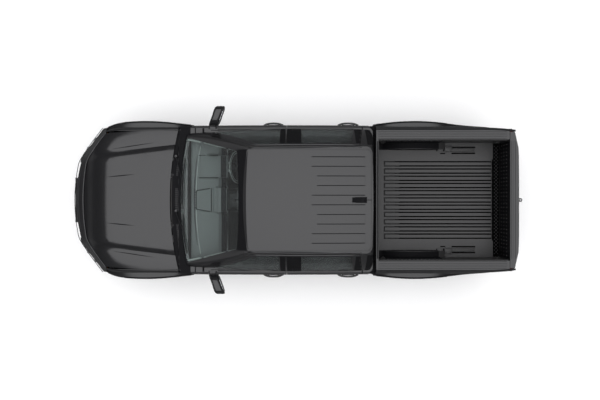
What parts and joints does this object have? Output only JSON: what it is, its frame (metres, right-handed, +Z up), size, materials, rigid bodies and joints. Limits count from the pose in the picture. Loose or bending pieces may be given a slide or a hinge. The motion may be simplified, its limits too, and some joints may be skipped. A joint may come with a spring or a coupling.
{
  "type": "pickup truck",
  "caption": "Crew-cab pickup truck with opening doors, hood and tailgate, ribbed load bed, steered front wheels and a tow ball.",
  "frame": {"origin": "on the ground, under the middle of the box around the whole truck", "axes": "+X towards the nose, +Y to the truck's left, +Z up"},
  "size_m": [5.5801, 2.208, 1.8979],
  "materials": {
    "black_paint": "gloss black with clear coat",
    "cab_interior": "gloss black outside, grey trim inside",
    "glass": "green-grey tint",
    "black_plastic": "satin moulded",
    "liner_plastic": "ribbed, fine grain",
    "tyre": "matte rubber",
    "alloy": "machined and lacquered",
    "chassis_steel": "satin black wax",
    "cast_iron": "bare",
    "exhaust_steel": "dull",
    "ball_steel": "polished ball, satin neck",
    "headlamp": "clear lens",
    "tail_lamp": "red lens",
    "grey_trim": "grained",
    "seat_fabric": "woven",
    "tank_plastic": "moulded"
  },
  "bodies": {
    "front_door_left": {"front_door_left": "black_paint", "front_door_glass_left": "glass", "door_mirror_left": "black_paint"},
    "rear_door_left": {"rear_door_left": "black_paint", "rear_door_glass_left": "glass"},
    "steering_knuckle_left": {"knuckle_left": "cast_iron"},
    "front_wheel_left": {"front_tyre_left": "tyre", "front_rim_left": "alloy"},
    "rear_wheel_left": {"rear_tyre_left": "tyre", "rear_rim_left": "alloy"},
    "front_door_right": {"front_door_right": "black_paint", "front_door_glass_right": "glass", "door_mirror_right": "black_paint"},
    "rear_door_right": {"rear_door_right": "black_paint", "rear_door_glass_right": "glass"},
    "steering_knuckle_right": {"knuckle_right": "cast_iron"},
    "front_wheel_right": {"front_tyre_right": "tyre", "front_rim_right": "alloy"},
    "rear_wheel_right": {"rear_tyre_right": "tyre", "rear_rim_right": "alloy"},
    "hood": {"hood": "black_paint"},
    "tailgate": {"tailgate": "black_paint"},
    "chassis": {"antenna_fin": "black_plastic", "bed_box": "black_paint", "bed_liner": "liner_plastic", "bed_sides": "black_paint", "cab_floor": "cab_interior", "cab_shell": "cab_interior", "centre_console": "black_plastic", "cowl": "black_plastic", "dashboard": "grey_trim", "driveshaft": "chassis_steel", "engine": "cast_iron", "exhaust": "exhaust_steel", "fixed_glass": "glass", "frame_cross_members": "chassis_steel", "frame_rails": "chassis_steel", "front_bumper": "black_paint", "front_fenders": "black_paint", "front_seats": "seat_fabric", "fuel_tank": "tank_plastic", "grille": "black_plastic", "headlights": "headlamp", "leaf_springs": "chassis_steel", "rear_axle": "chassis_steel", "rear_bench": "seat_fabric", "rear_bumper": "black_plastic", "roof_panel": "black_paint", "steering_wheel": "black_plastic", "subframe": "chassis_steel", "suspension_arms": "chassis_steel", "tail_lamps": "tail_lamp", "tow_bar": "ball_steel", "wheel_liners": "black_plastic"}
  },
  "joints": [
    {"name": "front_door_left_hinge", "type": "hinge", "parent": "chassis", "child": "front_door_left", "pos_m": [1.31, 0.91, 0.9], "axis": [0, 0, -1], "range_deg": [0, 65]},
    {"name": "rear_door_left_hinge", "type": "hinge", "parent": "chassis", "child": "rear_door_left", "pos_m": [0.174, 0.91, 0.9], "axis": [0, 0, -1], "range_deg": [0, 65]},
    {"name": "steer_left", "type": "hinge", "parent": "chassis", "child": "steering_knuckle_left", "pos_m": [1.89, 0.705, 0.395], "axis": [0, 0, 1], "range_deg": [-32, 32]},
    {"name": "front_wheel_left_spin", "type": "hinge", "parent": "steering_knuckle_left", "child": "front_wheel_left", "pos_m": [1.89, 0.81, 0.395], "axis": [0, 1, 0], "continuous": true},
    {"name": "rear_wheel_left_spin", "type": "hinge", "parent": "chassis", "child": "rear_wheel_left", "pos_m": [-1.38, 0.81, 0.395], "axis": [0, 1, 0], "continuous": true},
    {"name": "front_door_right_hinge", "type": "hinge", "parent": "chassis", "child": "front_door_right", "pos_m": [1.31, -0.91, 0.9], "axis": [0, 0, 1], "range_deg": [0, 65]},
    {"name": "rear_door_right_hinge", "type": "hinge", "parent": "chassis", "child": "rear_door_right", "pos_m": [0.174, -0.91, 0.9], "axis": [0, 0, 1], "range_deg": [0, 65]},
    {"name": "steer_right", "type": "hinge", "parent": "chassis", "child": "steering_knuckle_right", "pos_m": [1.89, -0.705, 0.395], "axis": [0, 0, 1], "range_deg": [-32, 32]},
    {"name": "front_wheel_right_spin", "type": "hinge", "parent": "steering_knuckle_right", "child": "front_wheel_right", "pos_m": [1.89, -0.81, 0.395], "axis": [0, 1, 0], "continuous": true},
    {"name": "rear_wheel_right_spin", "type": "hinge", "parent": "chassis", "child": "rear_wheel_right", "pos_m": [-1.38, -0.81, 0.395], "axis": [0, 1, 0], "continuous": true},
    {"name": "hood_hinge", "type": "hinge", "parent": "chassis", "child": "hood", "pos_m": [1.465, 0, 1.18], "axis": [0, -1, 0], "range_deg": [0, 50]},
    {"name": "tailgate_hinge", "type": "hinge", "parent": "chassis", "child": "tailgate", "pos_m": [-2.518, 0, 0.778], "axis": [0, -1, 0], "range_deg": [0, 90]}
  ],
  "couplings": [
    {"joint": "steer_right", "follows": "steer_left", "ratio": 1}
  ]
}
